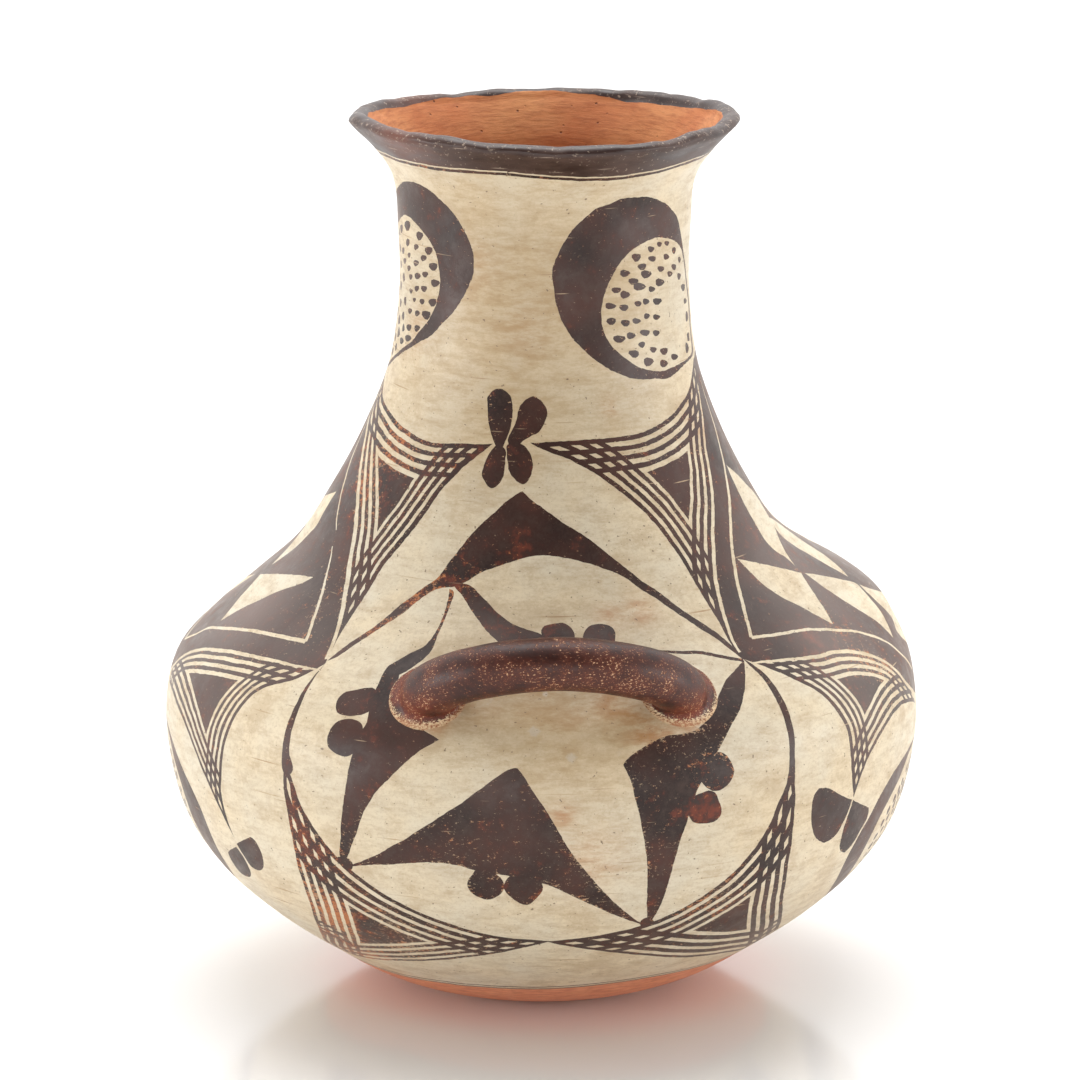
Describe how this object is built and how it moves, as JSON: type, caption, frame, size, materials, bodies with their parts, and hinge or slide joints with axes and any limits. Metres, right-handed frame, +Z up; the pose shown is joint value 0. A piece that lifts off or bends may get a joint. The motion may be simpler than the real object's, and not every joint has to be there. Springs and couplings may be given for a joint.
{
  "type": "pottery vase",
  "caption": "Hand-built hollow pottery vase with a round belly, tall neck, flared mouth and two grip handles on the shoulder.",
  "frame": {"origin": "centre of the flat base, on the surface that the vase stands on", "axes": "+Z up along the neck, -Y towards the front handle, +X to the right seen from the front"},
  "size_m": [0.2848, 0.3042, 0.3318],
  "materials": {
    "painted_slip": "stone-polished cream slip over orange fired clay, with dark brown mineral paint"
  },
  "bodies": {
    "root": {"vase": "painted_slip"}
  },
  "joints": []
}
